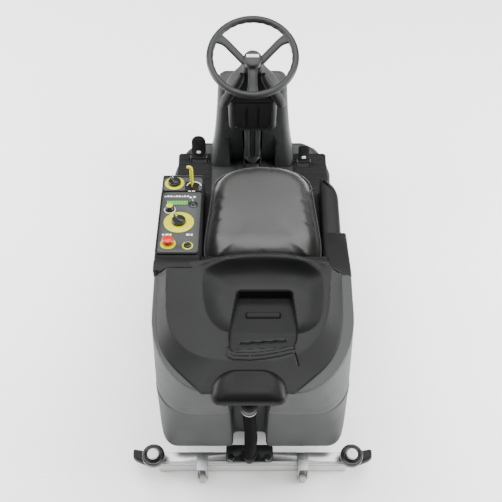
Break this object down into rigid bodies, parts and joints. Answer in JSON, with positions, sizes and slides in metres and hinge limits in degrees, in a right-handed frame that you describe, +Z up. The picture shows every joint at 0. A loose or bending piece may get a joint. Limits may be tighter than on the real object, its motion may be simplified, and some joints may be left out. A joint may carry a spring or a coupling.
{
  "type": "ride-on floor scrubber",
  "caption": "Ride-on floor scrubber with steered front wheel, seat between tank and footwell, disc brush deck, rear squeegee on a lifting arm and hinged tank lid.",
  "frame": {"origin": "on the floor under the centre of the machine's bounding box", "axes": "+Y forward, +X to the driver's right, +Z up"},
  "size_m": [0.94, 1.567, 1.176],
  "materials": {
    "aluminium": "cast",
    "battery_case": "matt",
    "black_rubber": "matt",
    "black_shell": "satin",
    "blade_rubber": "matt",
    "bristle": "bristles",
    "frame_paint": "satin",
    "glass": "display window",
    "grey_shell": "fine grain",
    "light_plastic": "matt",
    "red": "gloss",
    "steel": "brushed",
    "tyre_rubber": "matt",
    "vinyl": "satin vinyl",
    "yellow": "gloss"
  },
  "bodies": {
    "machine": {"chassis_frame": "frame_paint", "battery_pack": "battery_case", "footboard": "grey_shell", "foot_mats": "black_rubber", "front_tower": "grey_shell", "column_tube": "black_shell", "column_housing": "black_shell", "column_cover": "black_shell", "fresh_water_tank": "grey_shell", "recovery_tank": "grey_shell", "seat_console": "black_shell", "control_panel": "grey_shell", "display": "glass", "dial_discs": "yellow", "lever_gate": "black_shell", "suction_turbine": "black_shell", "hose_elbow": "grey_shell", "drain_cap": "black_rubber", "suction_hose": "black_rubber"},
    "fork": {"steering_fork": "frame_paint"},
    "drive_wheel": {"drive_hub": "aluminium", "front_tyre": "tyre_rubber"},
    "rear_wheel_left": {"rear_rim_left": "light_plastic", "rear_tyre_left": "tyre_rubber"},
    "rear_wheel_right": {"rear_rim_right": "light_plastic", "rear_tyre_right": "tyre_rubber"},
    "steering": {"steering_wheel": "black_shell", "steering_shaft": "steel"},
    "brake": {"brake_pedal": "black_rubber"},
    "accelerator": {"accelerator_pedal": "black_rubber"},
    "seat": {"seat_cushion": "vinyl", "seat_pan": "frame_paint"},
    "selector": {"selector_knob": "black_shell"},
    "info": {"info_knob": "black_shell"},
    "water": {"water_knob": "black_shell"},
    "stop": {"emergency_stop": "red"},
    "horn": {"horn_button": "black_rubber"},
    "key": {"operator_key": "light_plastic"},
    "lever": {"squeegee_lever": "yellow"},
    "lid": {"tank_lid": "black_shell", "rear_cap": "black_shell"},
    "filler_cap": {"fill_cap": "yellow"},
    "latch_left": {"tank_latch_left": "yellow"},
    "latch_right": {"tank_latch_right": "yellow"},
    "lift_front": {"lift_arm_front": "frame_paint"},
    "lift_rear": {"lift_arm_rear": "frame_paint"},
    "deck": {"brush_deck": "frame_paint", "brush_motors": "black_shell"},
    "disc_brush_left": {"brush_left": "bristle"},
    "disc_brush_right": {"brush_right": "bristle"},
    "squeegee": {"squeegee_arm": "black_shell", "squeegee_body": "steel", "squeegee_blades": "blade_rubber", "squeegee_ends": "black_shell", "clamp_knobs": "black_shell", "caster_brackets": "steel"},
    "caster_left": {"caster_wheel_left": "light_plastic"},
    "caster_right": {"caster_wheel_right": "light_plastic"},
    "roller_left": {"deflector_left": "light_plastic"},
    "roller_right": {"deflector_right": "light_plastic"}
  },
  "joints": [
    {"name": "steering_fork_turn", "type": "hinge", "parent": "machine", "child": "fork", "pos_m": [0, 0.655, 0.285], "axis": [0, 0, 1], "range_deg": [-75, 75]},
    {"name": "steering_wheel_turn", "type": "hinge", "parent": "machine", "child": "steering", "pos_m": [0, 0.655, 0.285], "axis": [0, -0.2419, 0.9703], "range_deg": [-75, 75]},
    {"name": "drive_wheel_spin", "type": "hinge", "parent": "fork", "child": "drive_wheel", "pos_m": [0, 0.655, 0.1], "axis": [1, 0, 0], "continuous": true},
    {"name": "rear_left_spin", "type": "hinge", "parent": "machine", "child": "rear_wheel_left", "pos_m": [-0.26, -0.42, 0.15], "axis": [1, 0, 0], "continuous": true},
    {"name": "rear_right_spin", "type": "hinge", "parent": "machine", "child": "rear_wheel_right", "pos_m": [0.26, -0.42, 0.15], "axis": [1, 0, 0], "continuous": true},
    {"name": "brake_press", "type": "hinge", "parent": "machine", "child": "brake", "pos_m": [-0.246, 0.673, 0.244], "axis": [-1, 0, 0], "range_deg": [0, 18], "stiffness_Nm_per_rad": 6, "springref_deg": -5.73},
    {"name": "accelerator_press", "type": "hinge", "parent": "machine", "child": "accelerator", "pos_m": [0.236, 0.65, 0.244], "axis": [-1, 0, 0], "range_deg": [0, 18], "stiffness_Nm_per_rad": 4, "springref_deg": -5.73},
    {"name": "seat_slide", "type": "slide", "parent": "machine", "child": "seat", "axis": [0, 1, 0], "range_m": [0, 0.06]},
    {"name": "selector_turn", "type": "hinge", "parent": "machine", "child": "selector", "pos_m": [-0.268, -0.062, 0.80223], "axis": [0, 0.2385, 0.9711], "range_deg": [0, 270]},
    {"name": "info_turn", "type": "hinge", "parent": "machine", "child": "info", "pos_m": [-0.305, 0.005, 0.78577], "axis": [0, 0.2385, 0.9711], "range_deg": [-150, 150]},
    {"name": "water_turn", "type": "hinge", "parent": "machine", "child": "water", "pos_m": [-0.297, 0.153, 0.74942], "axis": [0, 0.2385, 0.9711], "range_deg": [0, 270]},
    {"name": "stop_push", "type": "slide", "parent": "machine", "child": "stop", "axis": [0, -0.2385, -0.9711], "range_m": [0, 0.006]},
    {"name": "horn_push", "type": "slide", "parent": "machine", "child": "horn", "axis": [0, -0.2385, -0.9711], "range_m": [0, 0.003], "stiffness_N_per_m": 800, "springref_m": -0.002},
    {"name": "key_turn", "type": "hinge", "parent": "machine", "child": "key", "pos_m": [-0.221, 0.034, 0.77865], "axis": [0, 0.2385, 0.9711], "range_deg": [0, 90]},
    {"name": "squeegee_lift", "type": "hinge", "parent": "machine", "child": "squeegee", "pos_m": [-0.012, -0.48, 0.17], "axis": [-1, 0, 0], "range_deg": [0, 14], "deforming": ["suction_hose"]},
    {"name": "squeegee_lever_swing", "type": "hinge", "parent": "machine", "child": "lever", "pos_m": [-0.23, 0.1216, 0.70359], "axis": [1, 0, 0], "range_deg": [0, 21]},
    {"name": "lid_hinge", "type": "hinge", "parent": "machine", "child": "lid", "pos_m": [-0.012, -0.772, 0.832], "axis": [1, 0, 0], "range_deg": [0, 72]},
    {"name": "filler_cap_turn", "type": "hinge", "parent": "machine", "child": "filler_cap", "pos_m": [-0.275, 0.215, 0.43], "axis": [0, 1, 0], "range_deg": [0, 90]},
    {"name": "latch_left_swing", "type": "hinge", "parent": "machine", "child": "latch_left", "pos_m": [-0.336, -0.555, 0.546], "axis": [0, -1, 0], "range_deg": [0, 70]},
    {"name": "latch_right_swing", "type": "hinge", "parent": "machine", "child": "latch_right", "pos_m": [0.336, -0.555, 0.546], "axis": [0, 1, 0], "range_deg": [0, 70]},
    {"name": "deck_lift", "type": "hinge", "parent": "machine", "child": "lift_front", "pos_m": [0, -0.005, 0.175], "axis": [1, 0, 0], "range_deg": [0, 20]},
    {"name": "deck_level", "type": "hinge", "parent": "lift_front", "child": "deck", "pos_m": [0, 0.11, 0.11], "axis": [1, 0, 0], "range_deg": [-20, 0]},
    {"name": "rear_arm_swing", "type": "hinge", "parent": "machine", "child": "lift_rear", "pos_m": [0, -0.215, 0.175], "axis": [1, 0, 0], "range_deg": [0, 20]},
    {"name": "brush_left_spin", "type": "hinge", "parent": "deck", "child": "disc_brush_left", "pos_m": [-0.163, 0.04, 0.05], "axis": [0, 0, 1], "continuous": true},
    {"name": "brush_right_spin", "type": "hinge", "parent": "deck", "child": "disc_brush_right", "pos_m": [0.163, 0.04, 0.05], "axis": [0, 0, 1], "continuous": true},
    {"name": "caster_left_spin", "type": "hinge", "parent": "squeegee", "child": "caster_left", "pos_m": [-0.197, -0.752, 0.024], "axis": [1, 0, 0], "continuous": true},
    {"name": "caster_right_spin", "type": "hinge", "parent": "squeegee", "child": "caster_right", "pos_m": [0.197, -0.752, 0.024], "axis": [1, 0, 0], "continuous": true},
    {"name": "roller_left_spin", "type": "hinge", "parent": "squeegee", "child": "roller_left", "pos_m": [-0.384, -0.708, 0.143], "axis": [0, 0, 1], "continuous": true},
    {"name": "roller_right_spin", "type": "hinge", "parent": "squeegee", "child": "roller_right", "pos_m": [0.384, -0.708, 0.143], "axis": [0, 0, 1], "continuous": true}
  ],
  "couplings": [
    {"joint": "steering_wheel_turn", "follows": "steering_fork_turn", "ratio": 1},
    {"joint": "deck_level", "follows": "deck_lift", "ratio": -1},
    {"joint": "rear_arm_swing", "follows": "deck_lift", "ratio": 1},
    {"joint": "squeegee_lever_swing", "follows": "squeegee_lift", "ratio": 1.5}
  ]
}
